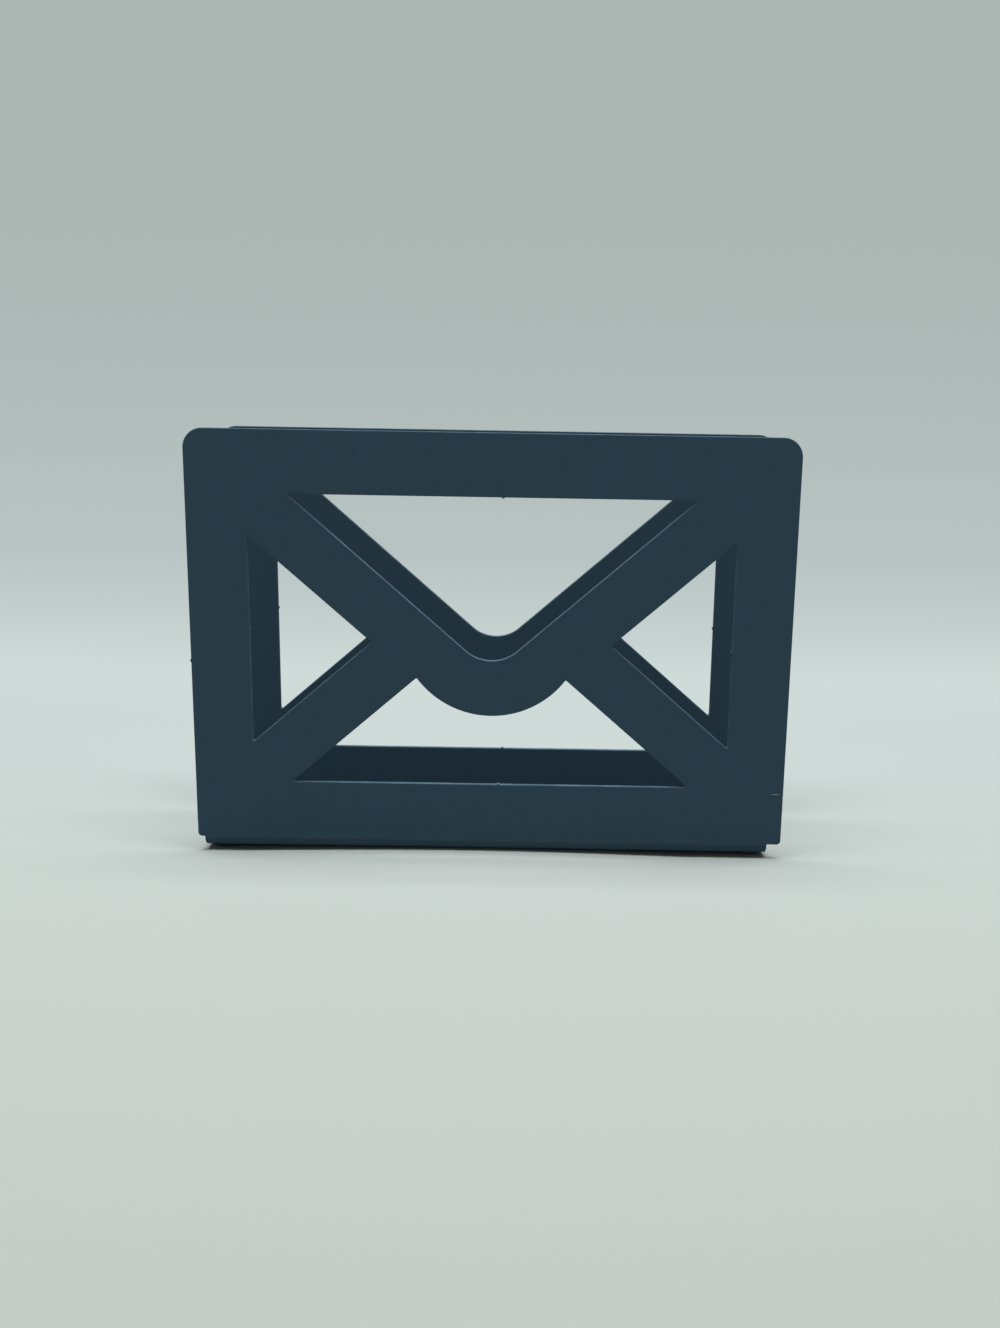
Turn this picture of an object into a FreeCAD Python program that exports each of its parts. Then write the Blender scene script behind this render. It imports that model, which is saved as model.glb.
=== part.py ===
import FreeCAD, Part

# Letter holder for a desk. One steel sheet is cut flat, folded twice into a U and powder coated.
# The slot between its two panels holds the letters, and each panel has an envelope cut out of it.
# It stands on four rubber feet that are stuck under its base.
# Millimetres. X runs along the panels, Y from the front panel to the back one, and Z up.
# The origin is on the surface that the feet stand on, below the middle of the slot.

import math
import os

# Overall size
PANEL_WIDTH = 180.0
OVERALL_HEIGHT = 128.7
OVERALL_DEPTH = 42.6

# Sheet, with the powder coat on both faces counted in its thickness
SHEET = 1.4
FOLD_OUTER_RADIUS = 3.4
TOP_CORNER_RADIUS = 5.8
LOWER_CORNER_RADIUS = 1.2

# The base and its folds stop short of the panels' sides, which leaves a relief notch at each end
LEFT_NOTCH = 2.05
RIGHT_NOTCH = 4.2

# Envelope cut out of each panel: a flap band in a V, and a straight band to each lower corner
SIDE_RAIL = 17.8
TOP_RAIL = 18.6
LOWER_WINDOW_SILL = 22.7
BAND_WIDTH = 16.9
FLAP_ANGLE = 41.1
CORNER_BAND_ANGLE = 40.9
FLAP_POINT_HEIGHT = 35.1
CORNER_BANDS_MEET_HEIGHT = 75.2
FLAP_TIP_HEIGHT = 44.3
FLAP_TIP_RADIUS = 27.8
FLAP_INNER_RADIUS = 11.7
WINDOW_CORNER_RADIUS = 0.4

# Nibs that the cutting beam leaves where each cut starts and ends
NIB_WIDTH = 1.2
NIB_HEIGHT = 0.4
NIB_ROOT = 0.3
SILL_NIB_X = 2.5
TOP_NIB_X = 3.1
LEFT_NIB_HEIGHT = 69.7
RIGHT_NIB_HEIGHT = 65.0
OUTER_NIB_HEIGHT = 60.0

# Feet and the adhesive discs that hold them
FOOT_DIAMETER = 10.0
FOOT_THICKNESS = 1.1
FOOT_EDGE_RADIUS = 0.4
ADHESIVE_DIAMETER = 9.4
ADHESIVE_THICKNESS = 0.2
FOOT_END_GAP = 0.3
FOOT_FOLD_GAP = 0.3

# Sizes worked out from those above
HALF_WIDTH = PANEL_WIDTH / 2
HALF_DEPTH = OVERALL_DEPTH / 2
BASE_UNDERSIDE = FOOT_THICKNESS + ADHESIVE_THICKNESS
FOLD_INNER_RADIUS = FOLD_OUTER_RADIUS - SHEET
FOLD_TOP = BASE_UNDERSIDE + FOLD_OUTER_RADIUS
BASE_LEFT = -HALF_WIDTH + LEFT_NOTCH
BASE_RIGHT = HALF_WIDTH - RIGHT_NOTCH
SIDE_WINDOW_EDGE = HALF_WIDTH - SIDE_RAIL
TOP_WINDOW_EDGE = OVERALL_HEIGHT - TOP_RAIL
FLAP_SLOPE = math.tan(math.radians(FLAP_ANGLE))
CORNER_SLOPE = math.tan(math.radians(CORNER_BAND_ANGLE))
FLAP_UPPER_POINT = FLAP_POINT_HEIGHT + BAND_WIDTH / math.cos(math.radians(FLAP_ANGLE))
CORNER_UPPER_POINT = CORNER_BANDS_MEET_HEIGHT + BAND_WIDTH / math.cos(math.radians(CORNER_BAND_ANGLE))


def rounded_wire(corners, place):
    """Closed wire through flat corners (a, b, radius), where place turns a and b into a point in space."""
    edges = []
    previous_end = None
    first_start = None
    count = len(corners)
    for index in range(count):
        a, b, radius = corners[index]
        corner = FreeCAD.Vector(a, b, 0)
        before = FreeCAD.Vector(corners[index - 1][0], corners[index - 1][1], 0)
        after = FreeCAD.Vector(corners[(index + 1) % count][0], corners[(index + 1) % count][1], 0)
        start = corner
        end = corner
        if radius > 0:
            to_before = (before - corner).normalize()
            to_after = (after - corner).normalize()
            half_angle = to_before.getAngle(to_after) / 2
            inward = (to_before + to_after).normalize()
            centre = corner + inward * (radius / math.sin(half_angle))
            start = corner + to_before * (radius / math.tan(half_angle))
            end = corner + to_after * (radius / math.tan(half_angle))
            middle = centre - inward * radius
        if previous_end is not None:
            edges.append(Part.LineSegment(place(previous_end), place(start)).toShape())
        else:
            first_start = start
        if radius > 0:
            edges.append(Part.Arc(place(start), place(middle), place(end)).toShape())
        previous_end = end
    edges.append(Part.LineSegment(place(previous_end), place(first_start)).toShape())
    return Part.Wire(edges)


def upright_plate(corners, front_y, thickness):
    """Plate whose outline lies across the object, with its front face at front_y."""
    wire = rounded_wire(corners, lambda point: FreeCAD.Vector(point.x, front_y, point.y))
    return Part.Face(wire).extrude(FreeCAD.Vector(0, thickness, 0))


def panel_outline():
    return [
        (-HALF_WIDTH, FOLD_TOP, LOWER_CORNER_RADIUS),
        (HALF_WIDTH, FOLD_TOP, LOWER_CORNER_RADIUS),
        (HALF_WIDTH, OVERALL_HEIGHT, TOP_CORNER_RADIUS),
        (-HALF_WIDTH, OVERALL_HEIGHT, TOP_CORNER_RADIUS),
    ]


def top_window():
    """Window above the flap, a triangle whose lower corner is round."""
    half_top = (TOP_WINDOW_EDGE - FLAP_UPPER_POINT) / FLAP_SLOPE
    return [
        (0, FLAP_UPPER_POINT, FLAP_INNER_RADIUS),
        (half_top, TOP_WINDOW_EDGE, WINDOW_CORNER_RADIUS),
        (-half_top, TOP_WINDOW_EDGE, WINDOW_CORNER_RADIUS),
    ]


def side_window(side):
    """Window between the flap band, a corner band and a side rail. side is -1 at the left and 1 at the right."""
    tip = (CORNER_UPPER_POINT - FLAP_POINT_HEIGHT) / (FLAP_SLOPE + CORNER_SLOPE)
    lower = CORNER_UPPER_POINT - CORNER_SLOPE * SIDE_WINDOW_EDGE
    upper = FLAP_POINT_HEIGHT + FLAP_SLOPE * SIDE_WINDOW_EDGE
    return [
        (side * tip, FLAP_POINT_HEIGHT + FLAP_SLOPE * tip, WINDOW_CORNER_RADIUS),
        (side * SIDE_WINDOW_EDGE, lower, WINDOW_CORNER_RADIUS),
        (side * SIDE_WINDOW_EDGE, upper, WINDOW_CORNER_RADIUS),
    ]


def bottom_window():
    """Triangle below the corner bands, which the round tip of the flap hangs into."""
    half_sill = (CORNER_BANDS_MEET_HEIGHT - LOWER_WINDOW_SILL) / CORNER_SLOPE
    return [
        (-half_sill, LOWER_WINDOW_SILL, WINDOW_CORNER_RADIUS),
        (half_sill, LOWER_WINDOW_SILL, WINDOW_CORNER_RADIUS),
        (0, CORNER_BANDS_MEET_HEIGHT, 0),
    ]


def bottom_opening(front_y, thickness):
    """Solid that cuts the bottom window: its triangle less the flap's tip, with both peaks rounded."""
    centre = FreeCAD.Vector(0, front_y, FLAP_TIP_HEIGHT + FLAP_TIP_RADIUS)
    flap_tip = Part.makeCylinder(FLAP_TIP_RADIUS, thickness, centre, FreeCAD.Vector(0, 1, 0))
    opening = upright_plate(bottom_window(), front_y, thickness).cut(flap_tip)
    peaks = []
    for edge in opening.Edges:
        box = edge.BoundBox
        if box.ZMin > FLAP_TIP_HEIGHT and box.ZLength < 0.01:
            peaks.append(edge)
    return opening.makeFillet(WINDOW_CORNER_RADIUS, peaks)


def cut_nib(x, z, out_x, out_z, front_y):
    """Small pointed nib at x, z on a cut edge. out_x, out_z is the way out of the metal."""
    half = NIB_WIDTH / 2
    corners = [
        (x + half * out_z, z + half * out_x, 0),
        (x + NIB_HEIGHT * out_x, z + NIB_HEIGHT * out_z, 0),
        (x - half * out_z, z - half * out_x, 0),
        (x - half * out_z - NIB_ROOT * out_x, z - half * out_x - NIB_ROOT * out_z, 0),
        (x + half * out_z - NIB_ROOT * out_x, z + half * out_x - NIB_ROOT * out_z, 0),
    ]
    return upright_plate(corners, front_y, SHEET)


def panel(front_y):
    """Flat panel above the fold, with its four windows and the nibs on its cut edges."""
    plate = upright_plate(panel_outline(), front_y, SHEET)
    for window in (top_window(), side_window(-1), side_window(1)):
        plate = plate.cut(upright_plate(window, front_y - SHEET, 3 * SHEET))
    plate = plate.cut(bottom_opening(front_y - SHEET, 3 * SHEET))
    nibs = [
        cut_nib(TOP_NIB_X, TOP_WINDOW_EDGE, 0, -1, front_y),
        cut_nib(SILL_NIB_X, LOWER_WINDOW_SILL, 0, 1, front_y),
        cut_nib(-SIDE_WINDOW_EDGE, LEFT_NIB_HEIGHT, 1, 0, front_y),
        cut_nib(SIDE_WINDOW_EDGE, RIGHT_NIB_HEIGHT, -1, 0, front_y),
        cut_nib(-HALF_WIDTH, OUTER_NIB_HEIGHT, -1, 0, front_y),
    ]
    return plate.fuse(nibs)


def base_with_folds():
    """Base and the fold along each of its long sides, run up into the panels so that they join."""
    top = FOLD_TOP + FOLD_OUTER_RADIUS
    inner_depth = HALF_DEPTH - SHEET
    inner_floor = BASE_UNDERSIDE + SHEET
    section = [
        (-HALF_DEPTH, top, 0),
        (-HALF_DEPTH, BASE_UNDERSIDE, FOLD_OUTER_RADIUS),
        (HALF_DEPTH, BASE_UNDERSIDE, FOLD_OUTER_RADIUS),
        (HALF_DEPTH, top, 0),
        (inner_depth, top, 0),
        (inner_depth, inner_floor, FOLD_INNER_RADIUS),
        (-inner_depth, inner_floor, FOLD_INNER_RADIUS),
        (-inner_depth, top, 0),
    ]
    wire = rounded_wire(section, lambda point: FreeCAD.Vector(BASE_LEFT, point.x, point.y))
    return Part.Face(wire).extrude(FreeCAD.Vector(BASE_RIGHT - BASE_LEFT, 0, 0))


def folded_sheet():
    """The whole steel sheet: front panel, base and back panel in one piece."""
    front = panel(-HALF_DEPTH)
    back = panel(HALF_DEPTH - SHEET)
    return base_with_folds().fuse([front, back]).removeSplitter()


def foot(x, y):
    """Rubber foot, a flat disc with a round lower rim."""
    disc = Part.makeCylinder(FOOT_DIAMETER / 2, FOOT_THICKNESS, FreeCAD.Vector(x, y, 0))
    rim = [edge for edge in disc.Edges if edge.BoundBox.ZMax < FOOT_THICKNESS / 2]
    return disc.makeFillet(FOOT_EDGE_RADIUS, rim)


def adhesive_disc(x, y):
    """Disc of double-sided foam tape between a foot and the base."""
    return Part.makeCylinder(ADHESIVE_DIAMETER / 2, ADHESIVE_THICKNESS, FreeCAD.Vector(x, y, FOOT_THICKNESS))


def foot_places():
    """Where each foot sits under the flat of the base, by the name of its corner."""
    left = BASE_LEFT + FOOT_END_GAP + FOOT_DIAMETER / 2
    right = BASE_RIGHT - FOOT_END_GAP - FOOT_DIAMETER / 2
    back = HALF_DEPTH - FOLD_OUTER_RADIUS - FOOT_FOLD_GAP - FOOT_DIAMETER / 2
    return {
        "front_left": (left, -back),
        "front_right": (right, -back),
        "back_left": (left, back),
        "back_right": (right, back),
    }


def build():
    """Every piece of the letter holder, by name."""
    pieces = {"folded_sheet": folded_sheet()}
    for corner, (x, y) in foot_places().items():
        pieces[corner + "_foot"] = foot(x, y)
        pieces[corner + "_adhesive_disc"] = adhesive_disc(x, y)
    return pieces


os.makedirs("parts", exist_ok=True)
for name, shape in build().items():
    box = shape.BoundBox
    print(name, "valid", shape.isValid(), "solids", len(shape.Solids), "volume", round(shape.Volume, 2),
          "from", (round(box.XMin, 2), round(box.YMin, 2), round(box.ZMin, 2)),
          "to", (round(box.XMax, 2), round(box.YMax, 2), round(box.ZMax, 2)))
    shape.exportStep("parts/" + name + ".step")
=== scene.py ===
import math
import random

import bmesh
import bpy
from mathutils import Euler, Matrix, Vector


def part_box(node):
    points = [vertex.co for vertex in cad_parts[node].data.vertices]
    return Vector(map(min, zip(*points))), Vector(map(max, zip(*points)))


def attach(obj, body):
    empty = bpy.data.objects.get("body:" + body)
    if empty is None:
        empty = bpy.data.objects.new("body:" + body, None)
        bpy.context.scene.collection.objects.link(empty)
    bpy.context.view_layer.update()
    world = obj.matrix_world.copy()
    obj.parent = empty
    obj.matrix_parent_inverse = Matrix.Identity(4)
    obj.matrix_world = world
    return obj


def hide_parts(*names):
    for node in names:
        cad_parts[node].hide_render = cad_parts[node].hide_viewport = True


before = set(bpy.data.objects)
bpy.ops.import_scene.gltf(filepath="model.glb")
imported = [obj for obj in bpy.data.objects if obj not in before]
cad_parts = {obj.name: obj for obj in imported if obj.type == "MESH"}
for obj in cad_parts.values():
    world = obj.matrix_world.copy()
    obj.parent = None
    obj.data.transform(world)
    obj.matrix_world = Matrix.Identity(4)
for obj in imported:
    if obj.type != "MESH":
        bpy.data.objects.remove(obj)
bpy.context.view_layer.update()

bl_info = {
    "name": "Folded Letter Holder",
    "version": (1, 0, 0),
    "blender": (4, 5, 0),
    "location": "View3D > Sidebar > Letter Holder",
    "description": "Dresses a folded sheet letter holder with its coat, feet and tape, on a pale sweep",
    "category": "Add Mesh",
}

# Metres in a millimetre. Meshes are drawn in millimetres, where small nibs survive, and scaled at the end.
MM = 0.001

# Places of the folded sheet, in millimetres, read from the frame
SHEET_LOW, SHEET_HIGH = (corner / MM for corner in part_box("folded_sheet"))
HALF_WIDTH = SHEET_HIGH.x
HALF_DEPTH = SHEET_HIGH.y
PANEL_TOP = SHEET_HIGH.z
BASE_UNDERSIDE = SHEET_LOW.z
CORNERS = ("front_left", "front_right", "back_left", "back_right")
FRONT = -1
BACK = 1

# Attribute that marks the faces that were cut or rounded, as against the flat faces of the sheet
CUT_EDGE = "cut_edge"


def tone(red, green, blue):
    """Linear colour from the 0 to 255 values that it shows on a screen."""
    linear = []
    for value in (red, green, blue):
        part = value / 255
        linear.append(part / 12.92 if part <= 0.04045 else ((part + 0.055) / 1.055) ** 2.4)
    return tuple(linear)


def length(name, description, millimetres):
    """Length setting, written here in millimetres and kept in metres."""
    return bpy.props.FloatProperty(name=name, description=description, default=millimetres * MM,
                                   min=0, precision=5, subtype="DISTANCE", unit="LENGTH")


def angle(name, description, degrees):
    """Angle setting, written here in degrees."""
    return bpy.props.FloatProperty(name=name, description=description, default=math.radians(degrees),
                                   subtype="ANGLE", unit="ROTATION")


def colour(name, description, linear):
    """Linear colour setting."""
    return bpy.props.FloatVectorProperty(name=name, description=description, default=linear,
                                         min=0, max=1, size=3, subtype="COLOR")


def share(name, description, value, highest=1):
    """Setting that goes from 0 to highest."""
    return bpy.props.FloatProperty(name=name, description=description, default=value,
                                   min=0, max=highest, subtype="FACTOR")


class SheetSettings(bpy.types.PropertyGroup):
    """Sizes of the folded sheet and of the envelope that is cut out of both panels."""

    thickness: length("Thickness", "Steel with the coat on both faces", 1.4)
    fold_radius: length("Fold Radius", "Outer radius of the fold along each long side of the base", 3.4)
    top_radius: length("Top Corner Radius", "Radius of each panel's upper corners", 5.8)
    lower_radius: length("Lower Corner Radius", "Radius of each panel's lower corners", 1.2)
    left_notch: length("Left Notch", "How far the base stops short of the panels at the left", 2.05)
    right_notch: length("Right Notch", "How far the base stops short of the panels at the right", 4.2)
    side_rail: length("Side Rail", "Width of the panel beside each side window", 17.8)
    top_rail: length("Top Rail", "Height of the panel above the top window", 18.6)
    sill: length("Sill Height", "Height of the bottom window's lower edge", 22.7)
    band_width: length("Band Width", "Width of the bands that draw the envelope", 16.9)
    flap_angle: angle("Flap Angle", "Slope of the flap's two bands", 41.1)
    corner_angle: angle("Corner Band Angle", "Slope of the bands to the lower corners", 40.9)
    flap_point: length("Flap Point", "Height where the flap's lower edges would meet", 35.1)
    corner_point: length("Corner Bands Meet", "Height where the corner bands' lower edges would meet", 75.2)
    flap_tip: length("Flap Tip", "Height of the lowest point of the flap's round tip", 44.3)
    flap_tip_radius: length("Flap Tip Radius", "Radius of the flap's round tip", 27.8)
    flap_inner_radius: length("Flap Inner Radius", "Radius inside the flap's point", 11.7)
    window_radius: length("Window Corner Radius", "Radius of the other corners of each window", 0.4)
    nib_width: length("Nib Width", "Width of the nibs where a cut starts and ends", 1.2)
    nib_height: length("Nib Height", "How far a nib stands out of its cut edge", 0.4)
    edge_radius: length("Coat Edge Radius", "How round the coat makes each cut edge", 0.22)


class FootSettings(bpy.types.PropertyGroup):
    """Shape of the rubber feet and of the tape that holds them."""

    lower_rim: length("Lower Rim", "Radius of the rim that stands on the desk", 0.4)
    upper_rim: length("Upper Rim", "Radius of the rim against the tape", 0.12)
    tape_waver: length("Tape Waver", "How far the tape's cut rim strays inwards", 0.12)


class FinishSettings(bpy.types.PropertyGroup):
    """Colours and surfaces of the coat, the rubber and the tape."""

    coat: colour("Coat", "Dark blue-grey powder coat", tone(51, 74, 89))
    # Painted shade: the pits have no relief of their own, so their bottoms are painted darker.
    coat_pit_shade: colour("Coat Pit Shade", "Colour at the bottom of the coat's fine pits", tone(37, 56, 69))
    # Painted highlight: the coat is painted paler along its cut edges, in place of the light that catches
    # them.
    coat_edge_sheen: colour("Painted Edge Sheen", "Coat painted paler along its cut edges as a highlight", tone(82, 103, 117))
    scratch: colour("Scratch", "Pale mark on the front panel", tone(126, 144, 152))
    coat_roughness: share("Coat Roughness", "How matte the coat is", 0.7)
    coat_shine: share("Coat Shine", "Strength of the coat's reflection; 0.5 is a common plastic's", 0.12)
    rubber: colour("Rubber", "Black rubber feet", tone(32, 36, 40))
    tape: colour("Tape", "Dark foam tape", tone(62, 62, 64))
    dust: colour("Dust", "Dust that settles on what faces up", tone(150, 156, 158))
    dust_amount: share("Dust Amount", "How much dust has settled", 0.10)


class StageSettings(bpy.types.PropertyGroup):
    """Paper sweep, light and camera."""

    # Painted light: the floor is painted lighter from front to back, and the wall darker towards its top, in
    # place of how the light falls off.
    floor_near: colour("Near Floor", "Paper in front of the holder", tone(143, 147, 143))
    floor_far: colour("Far Floor", "Paper behind the holder", tone(148, 156, 154))
    wall_low: colour("Lower Wall", "Where the sweep starts to rise", tone(207, 219, 217))
    wall_middle: colour("Middle Wall", "The risen sweep behind the holder", tone(184, 196, 195))
    wall_high: colour("Upper Wall", "The sweep above the holder", tone(171, 183, 179))
    sky: colour("Room", "Soft light from all round", tone(235, 243, 243))
    sky_strength: share("Room Strength", "Strength of the light from all round", 0.32, 10)
    top_power: bpy.props.FloatProperty(name="Top Light", description="Power of the light above the holder",
                                       default=22.4, min=0, unit="POWER")
    lens: bpy.props.FloatProperty(name="Lens", description="Focal length for a 36 mm long side",
                                  default=33.19, min=1, unit="CAMERA")


class SheetPlan:
    """Lines of the sheet before it is folded, in millimetres, from the middle of its base."""

    def __init__(self, size):
        self.thickness = size.thickness / MM
        self.fold_radius = size.fold_radius / MM
        self.top_radius = size.top_radius / MM
        self.lower_radius = size.lower_radius / MM
        self.base_left = -HALF_WIDTH + size.left_notch / MM
        self.base_right = HALF_WIDTH - size.right_notch / MM
        self.side_edge = HALF_WIDTH - size.side_rail / MM
        self.top_edge = PANEL_TOP - size.top_rail / MM
        self.sill = size.sill / MM
        self.flap_slope = math.tan(size.flap_angle)
        self.corner_slope = math.tan(size.corner_angle)
        self.flap_point = size.flap_point / MM
        self.corner_point = size.corner_point / MM
        self.flap_upper = self.flap_point + size.band_width / MM / math.cos(size.flap_angle)
        self.corner_upper = self.corner_point + size.band_width / MM / math.cos(size.corner_angle)
        self.flap_tip = size.flap_tip / MM
        self.flap_tip_radius = size.flap_tip_radius / MM
        self.flap_inner_radius = size.flap_inner_radius / MM
        self.window_radius = size.window_radius / MM
        self.nib_width = size.nib_width / MM
        self.nib_height = size.nib_height / MM
        self.fold_start = HALF_DEPTH - self.fold_radius
        self.fold_length = (self.fold_radius - self.thickness / 2) * math.pi / 2
        self.fold_end = self.fold_start + self.fold_length
        self.fold_top = BASE_UNDERSIDE + self.fold_radius

    def flat(self, corners, side):
        """Corners (x, height, radius) of a panel as places on the front or back side of the flat sheet."""
        return [(x, side * (self.fold_end + height - self.fold_top), radius)
                for x, height, radius in corners]

    def nib(self, x, height, out_x, out_z, towards_x, towards_z):
        """Corners of a nib on a cut edge. out_x, out_z is the way out of the metal, and the edge runs
        towards_x, towards_z."""
        half = self.nib_width / 2
        return [
            (x - half * towards_x, height - half * towards_z, 0),
            (x + self.nib_height * out_x, height + self.nib_height * out_z, 0),
            (x + half * towards_x, height + half * towards_z, 0),
        ]

    def panel_edge(self):
        """Outer edge of a panel, from the left end of its fold round to the right end."""
        return [
            (self.base_left, self.fold_top, 0),
            (-HALF_WIDTH, self.fold_top, self.lower_radius),
            *self.nib(-HALF_WIDTH, OUTER_NIB_HEIGHT, -1, 0, 0, 1),
            (-HALF_WIDTH, PANEL_TOP, self.top_radius),
            (HALF_WIDTH, PANEL_TOP, self.top_radius),
            (HALF_WIDTH, self.fold_top, self.lower_radius),
            (self.base_right, self.fold_top, 0),
        ]

    def top_window(self):
        """Window above the flap, a triangle that points down."""
        half_top = (self.top_edge - self.flap_upper) / self.flap_slope
        return [
            (0, self.flap_upper, self.flap_inner_radius),
            (half_top, self.top_edge, self.window_radius),
            *self.nib(TOP_NIB_X, self.top_edge, 0, -1, -1, 0),
            (-half_top, self.top_edge, self.window_radius),
        ]

    def side_window(self, side, nib_height):
        """Window at the left, side -1, or at the right, side 1."""
        tip = (self.corner_upper - self.flap_point) / (self.flap_slope + self.corner_slope)
        lower = self.corner_upper - self.corner_slope * self.side_edge
        upper = self.flap_point + self.flap_slope * self.side_edge
        return [
            (side * tip, self.flap_point + self.flap_slope * tip, self.window_radius),
            (side * self.side_edge, lower, self.window_radius),
            *self.nib(side * self.side_edge, nib_height, -side, 0, 0, 1),
            (side * self.side_edge, upper, self.window_radius),
        ]

    def bottom_window(self):
        """Window below the bands. The flap's round tip hangs into it and leaves a peak at either side."""
        half_sill = (self.corner_point - self.sill) / self.corner_slope
        radius = self.flap_tip_radius
        centre = self.flap_tip + radius
        rise = self.corner_point - centre
        stretch = 1 + self.corner_slope ** 2
        # A peak is where the straight lower edge of a corner band meets the circle of the tip
        peak = (self.corner_slope * rise + math.sqrt(radius ** 2 * stretch - rise ** 2)) / stretch
        peak_height = self.corner_point - self.corner_slope * peak
        swing = math.asin(peak / radius)
        steps = math.ceil(2 * swing / ARC_STEP)
        turns = [swing * (1 - 2 * step / steps) for step in range(1, steps)]
        return [
            (-half_sill, self.sill, self.window_radius),
            *self.nib(SILL_NIB_X, self.sill, 0, 1, 1, 0),
            (half_sill, self.sill, self.window_radius),
            (peak, peak_height, self.window_radius),
            *[(radius * math.sin(turn), centre - radius * math.cos(turn), 0) for turn in turns],
            (-peak, peak_height, self.window_radius),
        ]

    def windows(self):
        """The four windows of a panel: top, left, right and bottom."""
        return (self.top_window(), self.side_window(-1, LEFT_NIB_HEIGHT),
                self.side_window(1, RIGHT_NIB_HEIGHT), self.bottom_window())

    def folded(self, point):
        """Where a point of the flat sheet goes when it is folded. The point is (x, distance from the middle,
        depth in the sheet)."""
        side = math.copysign(1, point.y)
        distance = abs(point.y)
        if distance <= self.fold_start:
            return Vector((point.x, point.y, BASE_UNDERSIDE + point.z))
        if distance >= self.fold_end:
            return Vector((point.x, side * (HALF_DEPTH - point.z),
                           self.fold_top + distance - self.fold_end))
        turn = (distance - self.fold_start) / self.fold_length * math.pi / 2
        radius = self.fold_radius - point.z
        return Vector((point.x, side * (self.fold_start + radius * math.sin(turn)),
                       self.fold_top - radius * math.cos(turn)))


# Where the nibs are, in millimetres
OUTER_NIB_HEIGHT = 60.0
LEFT_NIB_HEIGHT = 69.7
RIGHT_NIB_HEIGHT = 65.0
TOP_NIB_X = 3.1
SILL_NIB_X = 2.5

# How finely round stretches are drawn
ARC_STEP = math.radians(3)
SHORTEST_ARC_STEPS = 5
FOLD_STEPS = 12
EDGE_SEGMENTS = 3
FOOT_SEGMENTS = 96
LOWER_RIM_SEGMENTS = 5
UPPER_RIM_SEGMENTS = 2
SHARP_ANGLE = math.radians(40)
RIM_ANGLE = math.radians(60)

# Even strip along every cut edge of the flat faces, in millimetres. Without it the long thin triangles
# of the flat faces would take the shading of the round rims and show as lines.
GUARD_STRIP = 0.3

# A face of the unfolded sheet, or of a disc, is flat when its normal points this much up or down
FLAT_NORMAL = 0.999

# Points this close become one, and a cut takes a point this close as lying on it, in millimetres
MERGE_DISTANCE = 0.001
CUT_DISTANCE = 0.0001


def outline(bm, corners):
    """Draws a closed flat outline through corners (x, y, radius). A round corner is a point that is spun
    about its centre."""
    ends = []
    for index, (x, y, radius) in enumerate(corners):
        corner = Vector((x, y, 0))
        if radius == 0:
            only = bm.verts.new(corner)
            ends.append((only, only))
            continue
        before = (Vector((*corners[index - 1][:2], 0)) - corner).normalized()
        after = (Vector((*corners[(index + 1) % len(corners)][:2], 0)) - corner).normalized()
        half = before.angle(after) / 2
        centre = corner + (before + after).normalized() * radius / math.sin(half)
        start = bm.verts.new(corner + before * radius / math.tan(half))
        turn = math.pi - 2 * half
        axis = (0, 0, math.copysign(1, after.cross(before).z))
        steps = max(SHORTEST_ARC_STEPS, math.ceil(turn / ARC_STEP))
        made = bmesh.ops.spin(bm, geom=[start], cent=centre, axis=axis, angle=turn, steps=steps)
        last = next(item for item in made["geom_last"] if isinstance(item, bmesh.types.BMVert))
        ends.append((start, last))
    for index, (start, _) in enumerate(ends):
        bm.edges.new((ends[index - 1][1], start))


def round_rims(bm, rims, radius, segments):
    """Rounds the rims that the list of edges makes."""
    bmesh.ops.bevel(bm, geom=rims, offset=radius, offset_type="OFFSET", segments=segments, profile=0.5,
                    affect="EDGES", clamp_overlap=False, loop_slide=False, material=-1)


def mark_cut_faces(bm):
    """Marks every face that doesn't lie flat, which is where the piece was cut or rounded."""
    layer = bm.faces.layers.float.new(CUT_EDGE)
    bm.normal_update()
    for face in bm.faces:
        face[layer] = 0 if abs(face.normal.z) > FLAT_NORMAL else 1


def finished_piece(bm, name, material, node):
    """Turns a closed mesh in millimetres into a piece that stands for a node of the frame."""
    bmesh.ops.remove_doubles(bm, verts=bm.verts[:], dist=MERGE_DISTANCE)
    bmesh.ops.recalc_face_normals(bm, faces=bm.faces[:])
    open_edges = [edge for edge in bm.edges if not edge.is_manifold]
    if open_edges:
        raise RuntimeError(f"{name} isn't closed: {len(open_edges)} edges have no two faces")
    bmesh.ops.scale(bm, vec=(MM, MM, MM), verts=bm.verts[:])
    mesh = bpy.data.meshes.new(name)
    bm.to_mesh(mesh)
    bm.free()
    mesh.set_sharp_from_angle(angle=SHARP_ANGLE)
    mesh.materials.append(material)
    piece = bpy.data.objects.new(name, mesh)
    bpy.context.scene.collection.objects.link(piece)
    weighted = piece.modifiers.new("Flat faces stay flat", "WEIGHTED_NORMAL")
    weighted.mode = "FACE_AREA"
    weighted.keep_sharp = True
    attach(piece, "root")
    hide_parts(node)
    return piece


def fill_inputs(tree, node, inputs):
    """Sets each named socket of a node, or links it where the value is itself a socket."""
    for socket, value in inputs.items():
        if isinstance(value, bpy.types.NodeSocket):
            tree.links.new(value, node.inputs[socket])
        else:
            node.inputs[socket].default_value = value


def add(tree, kind, inputs=None, **settings):
    """Adds a shader node and fills its inputs."""
    node = tree.nodes.new("ShaderNode" + kind)
    for name, value in settings.items():
        setattr(node, name, value)
    fill_inputs(tree, node, inputs or {})
    return node


def math_node(tree, operation, first, second=0.0, third=0.0, clamp=False):
    """Result of a sum. Only the operations that take three values look at the third."""
    values = {0: first, 1: second, 2: third}
    return add(tree, "Math", values, operation=operation, use_clamp=clamp).outputs[0]


def ranged(tree, value, low, high, out_low=0.0, out_high=1.0):
    """Value taken from low..high to out_low..out_high, with smooth ends."""
    limits = {"Value": value, "From Min": low, "From Max": high, "To Min": out_low, "To Max": out_high}
    return add(tree, "MapRange", limits, interpolation_type="SMOOTHSTEP").outputs["Result"]


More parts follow.
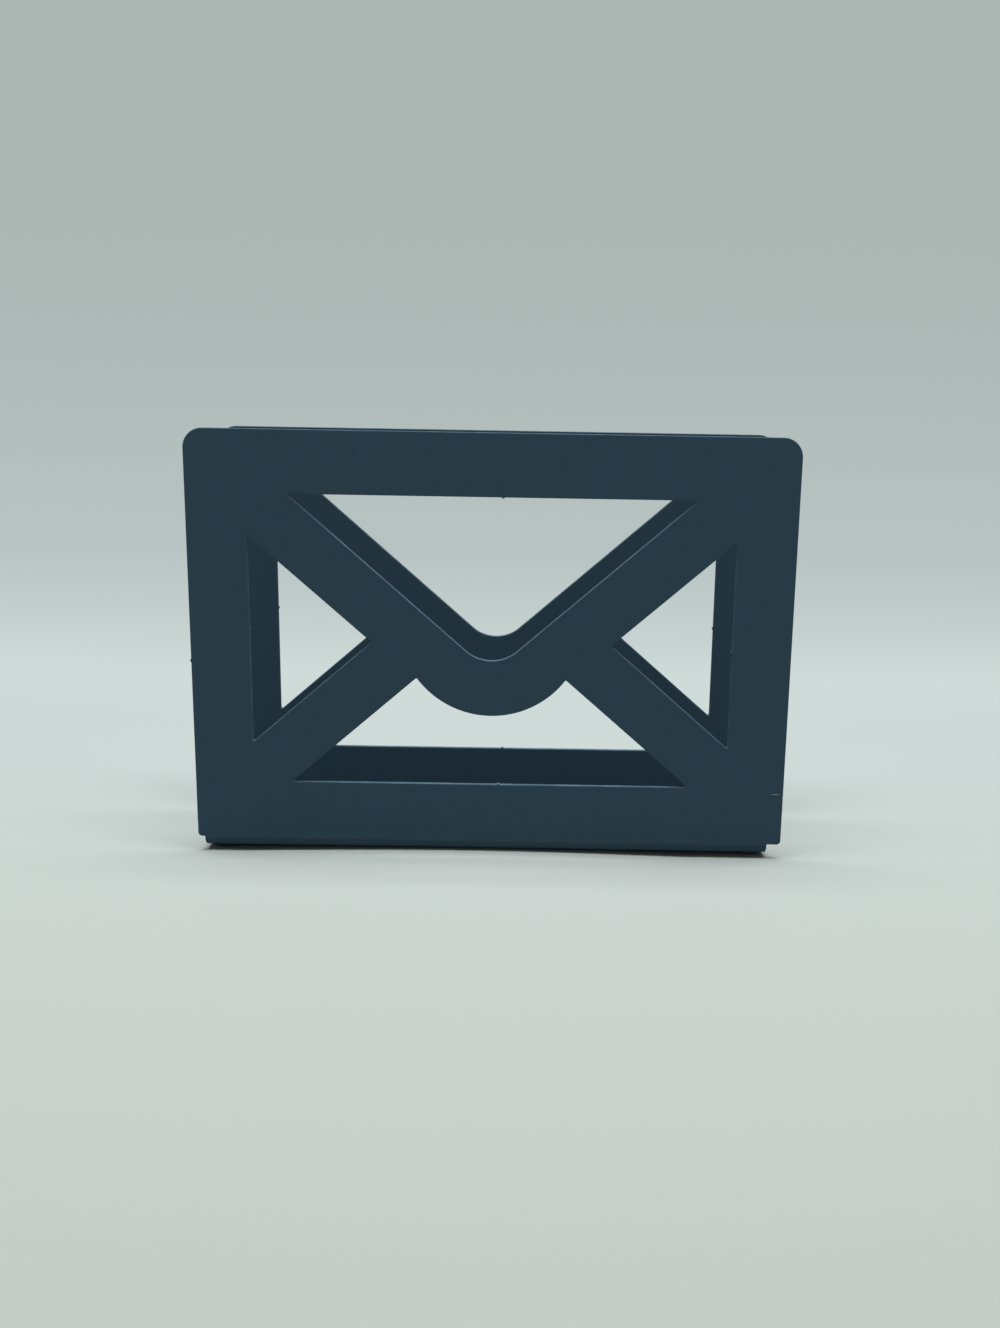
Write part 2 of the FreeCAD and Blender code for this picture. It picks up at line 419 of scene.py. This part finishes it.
def evenly(tree, value, low, high):
    """Value taken from low..high to 0..1 at an even pace."""
    return add(tree, "MapRange", {"Value": value, "From Min": low, "From Max": high}).outputs["Result"]


def counted_in(tree, vector, size):
    """Place counted in lengths of size, so that a texture's pattern grows with size."""
    per_size = math_node(tree, "DIVIDE", 1.0, size)
    return add(tree, "VectorMath", {0: vector, "Scale": per_size}, operation="SCALE").outputs["Vector"]


def blended(tree, mask, first, second):
    """Colour that goes from first to second as mask goes from 0 to 1."""
    node = add(tree, "Mix", {"Factor": mask, "A": first, "B": second}, data_type="RGBA")
    return node.outputs["Result"]


def group_tree(name, inputs, outputs):
    """Empty shader node group with the named inputs and float outputs. Returns it with its two end nodes."""
    tree = bpy.data.node_groups.new(name, "ShaderNodeTree")
    for socket, kind, value in inputs:
        made = tree.interface.new_socket(name=socket, in_out="INPUT", socket_type=kind)
        if value is not None:
            made.default_value = value
    for socket in outputs:
        tree.interface.new_socket(name=socket, in_out="OUTPUT", socket_type="NodeSocketFloat")
    return tree, tree.nodes.new("NodeGroupInput"), tree.nodes.new("NodeGroupOutput")


def use_group(tree, group, inputs):
    """Adds a node group to a tree and fills its inputs."""
    node = tree.nodes.new("ShaderNodeGroup")
    node.node_tree = group
    fill_inputs(tree, node, inputs)
    return node


def grain_group():
    """Fine grain of a coat or of moulded rubber: its height, its tone, and a mask of small pits."""
    name = "Fine Grain"
    if name in bpy.data.node_groups:
        return bpy.data.node_groups[name]
    tree, start, end = group_tree(
        name,
        [("Vector", "NodeSocketVector", None), ("Grain Size", "NodeSocketFloat", 0.5 * MM),
         ("Pit Spacing", "NodeSocketFloat", 5 * MM), ("Pit Size", "NodeSocketFloat", 0.08)],
        ("Height", "Tone", "Pits"))
    vector = start.outputs["Vector"]
    grains = counted_in(tree, vector, start.outputs["Grain Size"])
    swell = add(tree, "TexNoise", {"Vector": grains, "Scale": 0.55, "Detail": 1.0, "Roughness": 0.4})
    fine = add(tree, "TexNoise", {"Vector": grains, "Scale": 1.6, "Detail": 3.0, "Roughness": 0.6})
    fine_share = 0.35
    height = math_node(tree, "MULTIPLY_ADD", fine.outputs[0], fine_share, swell.outputs[0])
    cells = counted_in(tree, vector, start.outputs["Pit Spacing"])
    pits = add(tree, "TexVoronoi", {"Vector": cells, "Scale": 1.0}, feature="F1")
    pit_mask = ranged(tree, pits.outputs["Distance"], start.outputs["Pit Size"], 0.02)
    tree.links.new(height, end.inputs["Height"])
    tree.links.new(ranged(tree, fine.outputs[0], 0.3, 0.7), end.inputs["Tone"])
    tree.links.new(pit_mask, end.inputs["Pits"])
    return tree


def dust_group():
    """Dust that lies in patches on what faces up."""
    name = "Settled Dust"
    if name in bpy.data.node_groups:
        return bpy.data.node_groups[name]
    tree, start, end = group_tree(
        name,
        [("Vector", "NodeSocketVector", None), ("Patch Size", "NodeSocketFloat", 12 * MM),
         ("Amount", "NodeSocketFloat", 0.2)],
        ("Mask",))
    normal = add(tree, "NewGeometry").outputs["Normal"]
    upward = ranged(tree, add(tree, "SeparateXYZ", {0: normal}).outputs["Z"], 0.5, 0.95)
    patches = counted_in(tree, start.outputs["Vector"], start.outputs["Patch Size"])
    cloud = add(tree, "TexNoise", {"Vector": patches, "Scale": 1.0, "Detail": 6.0, "Roughness": 0.7})
    lying = math_node(tree, "MULTIPLY", upward, ranged(tree, cloud.outputs[0], 0.25, 0.8))
    mask = math_node(tree, "MULTIPLY", lying, start.outputs["Amount"], clamp=True)
    tree.links.new(mask, end.inputs["Mask"])
    return tree


def edge_sheen_and_rub_group():
    """Uneven paler patches along the cut and rounded edges, which the piece marks with an attribute. On the
    coat they are a painted highlight; on the rubber they are grey dust along the rims.
    """
    name = "Edge Rub"
    if name in bpy.data.node_groups:
        return bpy.data.node_groups[name]
    tree, start, end = group_tree(
        name,
        [("Vector", "NodeSocketVector", None), ("Patch Size", "NodeSocketFloat", 6 * MM),
         ("Amount", "NodeSocketFloat", 0.3)],
        ("Mask",))
    edge = add(tree, "Attribute", attribute_name=CUT_EDGE).outputs["Fac"]
    patches = counted_in(tree, start.outputs["Vector"], start.outputs["Patch Size"])
    edge_patches = add(tree, "TexNoise", {"Vector": patches, "Scale": 1.0, "Detail": 5.0, "Roughness": 0.65})
    sheen_and_rub_edges = math_node(tree, "MULTIPLY", edge, ranged(tree, edge_patches.outputs[0], 0.35, 0.7))
    mask = math_node(tree, "MULTIPLY", sheen_and_rub_edges, start.outputs["Amount"], clamp=True)
    tree.links.new(mask, end.inputs["Mask"])
    return tree


def new_material(name):
    """Material with one Principled shader. Returns it with its tree, shader and object coordinates."""
    material = bpy.data.materials.new(name)
    material.use_nodes = True
    tree = material.node_tree
    tree.nodes.clear()
    shader = tree.nodes.new("ShaderNodeBsdfPrincipled")
    output = tree.nodes.new("ShaderNodeOutputMaterial")
    tree.links.new(shader.outputs["BSDF"], output.inputs["Surface"])
    return material, tree, shader, add(tree, "TexCoord").outputs["Object"]


def solid(linear):
    """Colour as a socket takes it."""
    return (*linear, 1.0)


def scaled(linear, by):
    """Colour made darker or lighter, as a socket takes it."""
    return (*(channel * by for channel in linear), 1.0)


def link_bump(tree, shader, grain, depth):
    """Gives a shader the relief of the grain, as deep as depth."""
    bump = add(tree, "Bump", {"Strength": 1.0, "Distance": depth, "Height": grain.outputs["Height"]})
    tree.links.new(bump.outputs["Normal"], shader.inputs["Normal"])


# Scratch on the front panel: its middle and its half sizes, in millimetres
SCRATCH_X = 87.6
SCRATCH_Z = 20.9
SCRATCH_HALF_LENGTH = 1.9
SCRATCH_HALF_HEIGHT = 0.18
SCRATCH_DEPTH = 0.5

# The scratch has its full colour within this share of its half sizes, and fades beyond it
SCRATCH_CORE = 0.35


def scratch_mask(tree, place):
    """Short level scratch low down at the right of the front panel."""
    centred = add(tree, "Mapping", {
        "Vector": place,
        "Location": (SCRATCH_X * MM, -HALF_DEPTH * MM, SCRATCH_Z * MM),
        "Scale": (SCRATCH_HALF_LENGTH * MM, SCRATCH_DEPTH * MM, SCRATCH_HALF_HEIGHT * MM),
    }, vector_type="TEXTURE")
    away = add(tree, "VectorMath", {0: centred.outputs["Vector"]}, operation="LENGTH").outputs["Value"]
    return ranged(tree, away, 1.0, SCRATCH_CORE)


def powder_coat(finish):
    """Matte blue-grey coat with a fine orange peel, small pits painted darker as shade, a painted highlight
    along its cut edges, a little dust and a scratch.
    """
    material, tree, shader, place = new_material("powder_coat")
    grain = use_group(tree, grain_group(), {"Vector": place, "Grain Size": 0.42 * MM, "Pit Spacing": 6 * MM,
                                            "Pit Size": 0.07})
    clouds = add(tree, "TexNoise", {"Vector": place, "Scale": 22.0, "Detail": 2.0, "Roughness": 0.5})
    sheen_and_rub_mask = use_group(tree, edge_sheen_and_rub_group(), {"Vector": place, "Patch Size": 7 * MM,
                                        "Amount": 0.35}).outputs["Mask"]
    dust = use_group(tree, dust_group(), {"Vector": place, "Patch Size": 14 * MM,
                                          "Amount": finish.dust_amount}).outputs["Mask"]
    scratch = scratch_mask(tree, place)
    shade = blended(tree, clouds.outputs[0], scaled(finish.coat, 0.94), scaled(finish.coat, 1.06))
    grained = blended(tree, grain.outputs["Tone"], scaled(finish.coat, 0.88), shade)
    # Painted shade at the bottom of each pit
    pit_shaded = blended(tree, grain.outputs["Pits"], grained, solid(finish.coat_pit_shade))
    # Painted highlight along the cut edges
    sheen_and_rub_edges = blended(tree, sheen_and_rub_mask, pit_shaded, solid(finish.coat_edge_sheen))
    dusty = blended(tree, dust, sheen_and_rub_edges, solid(finish.dust))
    tree.links.new(blended(tree, scratch, dusty, solid(finish.scratch)), shader.inputs["Base Color"])
    spread = 0.10
    rough = math_node(tree, "MULTIPLY_ADD", grain.outputs["Tone"], spread, finish.coat_roughness - spread / 2)
    tree.links.new(rough, shader.inputs["Roughness"])
    shader.inputs["Specular IOR Level"].default_value = finish.coat_shine
    link_bump(tree, shader, grain, 0.009 * MM)
    return material


def foot_rubber(finish):
    """Matte black rubber with a moulded grain, greyed along its rims."""
    material, tree, shader, place = new_material("foot_rubber")
    grain = use_group(tree, grain_group(), {"Vector": place, "Grain Size": 0.2 * MM, "Pit Spacing": 2 * MM,
                                            "Pit Size": 0.06})
    sheen_and_rub_mask = use_group(tree, edge_sheen_and_rub_group(), {"Vector": place, "Patch Size": 1.5 * MM,
                                        "Amount": 0.12}).outputs["Mask"]
    dust = use_group(tree, dust_group(), {"Vector": place, "Patch Size": 3 * MM,
                                          "Amount": finish.dust_amount}).outputs["Mask"]
    grained = blended(tree, grain.outputs["Tone"], scaled(finish.rubber, 0.8), scaled(finish.rubber, 1.2))
    sheen_and_rub_edges = blended(tree, sheen_and_rub_mask, grained, scaled(finish.dust, 0.5))
    tree.links.new(blended(tree, dust, sheen_and_rub_edges, solid(finish.dust)), shader.inputs["Base Color"])
    rough = math_node(tree, "MULTIPLY_ADD", grain.outputs["Tone"], 0.12, 0.68)
    tree.links.new(rough, shader.inputs["Roughness"])
    link_bump(tree, shader, grain, 0.008 * MM)
    return material


def foam_tape(finish):
    """Dark foam with open cells."""
    material, tree, shader, place = new_material("foam_tape")
    grain = use_group(tree, grain_group(), {"Vector": place, "Grain Size": 0.12 * MM,
                                            "Pit Spacing": 0.35 * MM, "Pit Size": 0.35})
    grained = blended(tree, grain.outputs["Tone"], scaled(finish.tape, 0.85), scaled(finish.tape, 1.15))
    # The open cells are painted darker: painted shade in the pores.
    tree.links.new(blended(tree, grain.outputs["Pits"], grained, scaled(finish.tape, 0.4)),
                   shader.inputs["Base Color"])
    rough = ranged(tree, grain.outputs["Pits"], 0.0, 1.0, 0.8, 0.95)
    tree.links.new(rough, shader.inputs["Roughness"])
    link_bump(tree, shader, grain, 0.02 * MM)
    return material


class LETTER_HOLDER_OT_coated_sheet(bpy.types.Operator):
    """Cuts the sheet flat, rounds its cut edges and folds it into a U"""

    bl_idname = "letter_holder.coated_sheet"
    bl_label = "Coated Sheet"

    def execute(self, context):
        size = context.scene.letter_holder_sheet
        plan = SheetPlan(size)
        bm = bmesh.new()
        edge = plan.panel_edge()
        outline(bm, plan.flat(edge, FRONT) + plan.flat(edge[::-1], BACK))
        for side in (FRONT, BACK):
            for window in plan.windows():
                outline(bm, plan.flat(window, side))
        bmesh.ops.triangle_fill(bm, use_beauty=True, use_dissolve=False, edges=bm.edges[:])
        bmesh.ops.inset_region(bm, faces=bm.faces[:], thickness=GUARD_STRIP, use_even_offset=True,
                               use_boundary=True)
        for side in (FRONT, BACK):
            for step in range(FOLD_STEPS + 1):
                line = side * (plan.fold_start + plan.fold_length * step / FOLD_STEPS)
                bmesh.ops.bisect_plane(bm, geom=bm.verts[:] + bm.edges[:] + bm.faces[:], dist=CUT_DISTANCE,
                                       plane_co=(0, line, 0), plane_no=(0, 1, 0))
        raised = bmesh.ops.extrude_face_region(bm, geom=bm.faces[:])["geom"]
        inner = [item for item in raised if isinstance(item, bmesh.types.BMVert)]
        bmesh.ops.translate(bm, vec=(0, 0, plan.thickness), verts=inner)
        bmesh.ops.recalc_face_normals(bm, faces=bm.faces[:])
        rims = [rim for rim in bm.edges
                if rim.verts[0].co.z == rim.verts[1].co.z and rim.calc_face_angle(0) > RIM_ANGLE]
        round_rims(bm, rims, size.edge_radius / MM, EDGE_SEGMENTS)
        mark_cut_faces(bm)
        for vert in bm.verts:
            vert.co = plan.folded(vert.co)
        material = powder_coat(context.scene.letter_holder_finish)
        finished_piece(bm, "coated_sheet", material, "folded_sheet")
        return {"FINISHED"}


def disc(low, high):
    """Upright disc that fills a node's box, in millimetres, with its lower and upper rims."""
    bm = bmesh.new()
    middle = (low + high) / 2
    radius = (high.x - low.x) / 2
    made = bmesh.ops.create_cone(bm, cap_ends=True, segments=FOOT_SEGMENTS, radius1=radius, radius2=radius,
                                 depth=high.z - low.z)
    bmesh.ops.translate(bm, vec=middle, verts=made["verts"])
    level = [edge for edge in bm.edges if edge.verts[0].co.z == edge.verts[1].co.z]
    lower = [edge for edge in level if edge.verts[0].co.z < middle.z]
    upper = [edge for edge in level if edge.verts[0].co.z > middle.z]
    return bm, lower, upper


class LETTER_HOLDER_OT_rubber_feet(bpy.types.Operator):
    """Moulds the four rubber feet, with a round rim where they stand on the desk"""

    bl_idname = "letter_holder.rubber_feet"
    bl_label = "Rubber Feet"

    def execute(self, context):
        foot = context.scene.letter_holder_foot
        material = foot_rubber(context.scene.letter_holder_finish)
        for corner in CORNERS:
            node = corner + "_foot"
            low, high = (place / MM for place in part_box(node))
            bm, lower, upper = disc(low, high)
            round_rims(bm, lower, foot.lower_rim / MM, LOWER_RIM_SEGMENTS)
            round_rims(bm, upper, foot.upper_rim / MM, UPPER_RIM_SEGMENTS)
            mark_cut_faces(bm)
            finished_piece(bm, corner + "_rubber_foot", material, node)
        return {"FINISHED"}


# How the tape's rim strays: an even share, and the shares and counts of the long and short waves round it
EVEN_SHARE = 0.5
LONG_SHARE, LONG_WAVES = 0.3, 3
SHORT_SHARE, SHORT_WAVES = 0.2, 11
TAPE_CUT_SEED = 7


class LETTER_HOLDER_OT_tape_discs(bpy.types.Operator):
    """Punches the four discs of foam tape, with a rim that wavers a little"""

    bl_idname = "letter_holder.tape_discs"
    bl_label = "Tape Discs"

    def execute(self, context):
        waver = context.scene.letter_holder_foot.tape_waver / MM
        material = foam_tape(context.scene.letter_holder_finish)
        rough_cut = random.Random(TAPE_CUT_SEED)
        for corner in CORNERS:
            node = corner + "_adhesive_disc"
            low, high = (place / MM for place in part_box(node))
            bm, _, _ = disc(low, high)
            middle = (low + high) / 2
            phase = rough_cut.uniform(0, 2 * math.pi)
            for vert in bm.verts:
                away = vert.co - middle
                around = math.atan2(away.y, away.x)
                long_wave = LONG_SHARE * math.sin(LONG_WAVES * around + phase)
                short_wave = SHORT_SHARE * math.sin(SHORT_WAVES * around)
                inwards = waver * (EVEN_SHARE + long_wave + short_wave)
                share_out = 1 - inwards / math.hypot(away.x, away.y)
                vert.co.x = middle.x + away.x * share_out
                vert.co.y = middle.y + away.y * share_out
            mark_cut_faces(bm)
            finished_piece(bm, corner + "_tape_disc", material, node)
        return {"FINISHED"}


# Paper sweep, in metres: it lies flat, rises in a quarter turn and ends in a wall
SWEEP_FRONT = -1.6
SWEEP_BEND_START = 0.25
SWEEP_BEND_RADIUS = 0.35
SWEEP_TOP = 1.5
SWEEP_HALF_WIDTH = 1.6
SWEEP_BEND_STEPS = 40

# Slight rise of the paper below the holder, between its feet: its middle, half sizes and height, in metres
RISE_MIDDLE = (-0.008, -0.012)
RISE_HALF_SIZE = (0.067, 0.06)
RISE_HEIGHT = 0.00115
RISE_CUTS = 32
PAPER_CUT_DISTANCE = 0.00001

# Where the floor's shade starts and stops to change and the wall's takes over, in metres behind the holder
FLOOR_SHADE_START = -0.22
FLOOR_SHADE_END = 0.10
WALL_SHADE_START = 0.08
WALL_SHADE_END = 0.22

# The wall's shades follow the square root of the height in metres, which spreads out its lowest part.
# Here are the roots where the low shade gives way to the middle one, and the middle one to the high one.
LOW_SHADE_END = 0.21
HIGH_SHADE_START = 0.16
HIGH_SHADE_END = 0.55

# Light, in metres. It hangs above the holder and reaches a little further before it than behind.
TOP_LIGHT_PLACE = (0.0, -0.052, 0.999)
TOP_LIGHT_SIZE = (1.0, 0.46)

# Camera, in metres and degrees. Its shift is a share of the long side of the picture.
CAMERA_PLACE = (0.01314, -0.38125, 0.13495)
CAMERA_TURN = (78.3157, -0.9763, -0.1190)
CAMERA_SHIFT = (-0.0314, 0.00038)
SENSOR_LONG_SIDE = 36
NEAREST_SEEN = 0.01


def paper_sweep(stage):
    """Pale paper. What rises behind the holder shows a painted shade that darkens towards the top, the floor
    is painted lighter towards the back and keeps the holder's shadow, and the paper is clear from below."""
    material = bpy.data.materials.new("paper_sweep")
    material.use_nodes = True
    tree = material.node_tree
    tree.nodes.clear()
    place = add(tree, "TexCoord").outputs["Object"]
    axes = add(tree, "SeparateXYZ", {0: place})
    back = evenly(tree, axes.outputs["Y"], FLOOR_SHADE_START, FLOOR_SHADE_END)
    # Painted light: the floor grows lighter towards the back
    floor = blended(tree, back, solid(stage.floor_near), solid(stage.floor_far))
    rise = math_node(tree, "SQRT", math_node(tree, "MAXIMUM", axes.outputs["Z"], 0.0))
    lower = evenly(tree, rise, 0.0, LOW_SHADE_END)
    upper = ranged(tree, rise, HIGH_SHADE_START, HIGH_SHADE_END)
    # Painted shade: the wall grows darker towards its top
    low_wall = blended(tree, lower, solid(stage.wall_low), solid(stage.wall_middle))
    wall = blended(tree, upper, low_wall, solid(stage.wall_high))
    lit = add(tree, "BsdfDiffuse", {"Color": floor}).outputs["BSDF"]
    shown = add(tree, "Emission", {"Color": wall, "Strength": 1.0}).outputs["Emission"]
    rays = add(tree, "LightPath").outputs
    seen = math_node(tree, "MAXIMUM", rays["Is Camera Ray"], rays["Is Glossy Ray"])
    seen = math_node(tree, "MAXIMUM", seen, rays["Is Transmission Ray"])
    behind = ranged(tree, axes.outputs["Y"], WALL_SHADE_START, WALL_SHADE_END)
    paper = add(tree, "MixShader", {0: math_node(tree, "MULTIPLY", seen, behind), 1: lit, 2: shown})
    clear = add(tree, "BsdfTransparent").outputs["BSDF"]
    from_below = add(tree, "NewGeometry").outputs["Backfacing"]
    both = add(tree, "MixShader", {0: from_below, 1: paper.outputs[0], 2: clear})
    output = tree.nodes.new("ShaderNodeOutputMaterial")
    tree.links.new(both.outputs[0], output.inputs["Surface"])
    return material


def add_area_light(name, place, size, power):
    """Soft oblong light that shines at the holder. It doesn't show to the camera."""
    lamp = bpy.data.lights.new(name, "AREA")
    lamp.shape = "RECTANGLE"
    lamp.size, lamp.size_y = size
    lamp.energy = power
    light = bpy.data.objects.new(name, lamp)
    light.location = place
    light.rotation_euler = (-Vector(place)).to_track_quat("-Z", "Y").to_euler()
    light.visible_camera = False
    bpy.context.scene.collection.objects.link(light)


class LETTER_HOLDER_OT_stage(bpy.types.Operator):
    """Lays the paper sweep and sets the soft light and the camera"""

    bl_idname = "letter_holder.stage"
    bl_label = "Stage"

    def execute(self, context):
        stage = context.scene.letter_holder_stage
        self.lay_sweep(stage)
        add_area_light("top_light", TOP_LIGHT_PLACE, TOP_LIGHT_SIZE, stage.top_power)
        self.light_room(context, stage)
        self.place_camera(context, stage)
        context.scene.view_settings.view_transform = "Standard"
        return {"FINISHED"}

    def lay_sweep(self, stage):
        """Makes the paper from one line that is bent up at the back and drawn across."""
        bm = bmesh.new()
        first = bm.verts.new((-SWEEP_HALF_WIDTH, SWEEP_FRONT, 0))
        bend = bm.verts.new((-SWEEP_HALF_WIDTH, SWEEP_BEND_START, 0))
        bm.edges.new((first, bend))
        centre = (-SWEEP_HALF_WIDTH, SWEEP_BEND_START, SWEEP_BEND_RADIUS)
        made = bmesh.ops.spin(bm, geom=[bend], cent=centre, axis=(1, 0, 0), angle=math.pi / 2,
                              steps=SWEEP_BEND_STEPS)
        risen = next(item for item in made["geom_last"] if isinstance(item, bmesh.types.BMVert))
        top = bm.verts.new((-SWEEP_HALF_WIDTH, risen.co.y, SWEEP_TOP))
        bm.edges.new((risen, top))
        across = bmesh.ops.extrude_edge_only(bm, edges=bm.edges[:])["geom"]
        right = [item for item in across if isinstance(item, bmesh.types.BMVert)]
        bmesh.ops.translate(bm, vec=(2 * SWEEP_HALF_WIDTH, 0, 0), verts=right)
        self.raise_paper(bm)
        bm.normal_update()
        if next(iter(bm.faces)).normal.z < 0:
            bmesh.ops.reverse_faces(bm, faces=bm.faces[:])
        for face in bm.faces:
            face.smooth = True
        mesh = bpy.data.meshes.new("paper_sweep")
        bm.to_mesh(mesh)
        bm.free()
        mesh.materials.append(paper_sweep(stage))
        sweep = bpy.data.objects.new("paper_sweep", mesh)
        bpy.context.scene.collection.objects.link(sweep)

    def raise_paper(self, bm):
        """Bows the paper up a little between the holder's feet."""
        for axis in (0, 1):
            normal = Vector((0, 0, 0))
            normal[axis] = 1
            for cut in range(RISE_CUTS + 1):
                line = RISE_MIDDLE[axis] + RISE_HALF_SIZE[axis] * (2 * cut / RISE_CUTS - 1)
                whole = bm.verts[:] + bm.edges[:] + bm.faces[:]
                bmesh.ops.bisect_plane(bm, geom=whole, dist=PAPER_CUT_DISTANCE,
                                       plane_co=normal * line, plane_no=normal)
        for vert in bm.verts:
            across, along = ((vert.co[axis] - RISE_MIDDLE[axis]) / RISE_HALF_SIZE[axis] for axis in (0, 1))
            if abs(across) < 1 and abs(along) < 1:
                vert.co.z += (RISE_HEIGHT * math.cos(across * math.pi / 2)
                              * math.cos(along * math.pi / 2) ** 2)

    def light_room(self, context, stage):
        """Lights the stage evenly from all round. Past the paper the camera sees the wall's middle shade."""
        world = bpy.data.worlds.new("room")
        context.scene.world = world
        world.use_nodes = True
        tree = world.node_tree
        tree.nodes.clear()
        light = add(tree, "Background", {"Color": solid(stage.sky), "Strength": stage.sky_strength})
        shown = add(tree, "Background", {"Color": solid(stage.wall_middle), "Strength": 1.0})
        seen = add(tree, "LightPath").outputs["Is Camera Ray"]
        both = add(tree, "MixShader", {0: seen, 1: light.outputs[0], 2: shown.outputs[0]})
        output = tree.nodes.new("ShaderNodeOutputWorld")
        tree.links.new(both.outputs[0], output.inputs["Surface"])

    def place_camera(self, context, stage):
        """Sets the camera at the angle from which the holder was photographed."""
        view = bpy.data.cameras.new("camera")
        view.lens = stage.lens
        view.sensor_width = SENSOR_LONG_SIDE
        view.shift_x, view.shift_y = CAMERA_SHIFT
        view.clip_start = NEAREST_SEEN
        camera = bpy.data.objects.new("camera", view)
        camera.location = CAMERA_PLACE
        camera.rotation_euler = Euler([math.radians(turn) for turn in CAMERA_TURN], "XYZ")
        context.scene.collection.objects.link(camera)
        context.scene.camera = camera


class LETTER_HOLDER_PT_sidebar(bpy.types.Panel):
    """Lists the pieces of the letter holder and their settings"""

    bl_label = "Letter Holder"
    bl_idname = "LETTER_HOLDER_PT_sidebar"
    bl_space_type = "VIEW_3D"
    bl_region_type = "UI"
    bl_category = "Letter Holder"

    def draw(self, context):
        layout = self.layout
        for operator in OPERATORS:
            layout.operator(operator.bl_idname)
        for title, owner in SETTINGS.items():
            box = layout.box()
            box.label(text=title.replace("_", " ").title())
            settings = getattr(context.scene, title)
            for name in owner.__annotations__:
                box.prop(settings, name)


OPERATORS = (
    LETTER_HOLDER_OT_coated_sheet,
    LETTER_HOLDER_OT_rubber_feet,
    LETTER_HOLDER_OT_tape_discs,
    LETTER_HOLDER_OT_stage,
)
SETTINGS = {
    "letter_holder_sheet": SheetSettings,
    "letter_holder_foot": FootSettings,
    "letter_holder_finish": FinishSettings,
    "letter_holder_stage": StageSettings,
}


def register():
    """Adds the settings, the operators and the panel to Blender."""
    for owner in (*SETTINGS.values(), *OPERATORS, LETTER_HOLDER_PT_sidebar):
        bpy.utils.register_class(owner)
    for name, owner in SETTINGS.items():
        setattr(bpy.types.Scene, name, bpy.props.PointerProperty(type=owner))


def unregister():
    """Takes the settings, the operators and the panel out of Blender."""
    for name in SETTINGS:
        delattr(bpy.types.Scene, name)
    for owner in (LETTER_HOLDER_PT_sidebar, *OPERATORS[::-1], *SETTINGS.values()):
        bpy.utils.unregister_class(owner)


def main():
    """Makes every piece and the stage."""
    register()
    bpy.ops.letter_holder.coated_sheet()
    bpy.ops.letter_holder.rubber_feet()
    bpy.ops.letter_holder.tape_discs()
    bpy.ops.letter_holder.stage()


if __name__ == "__main__":
    main()
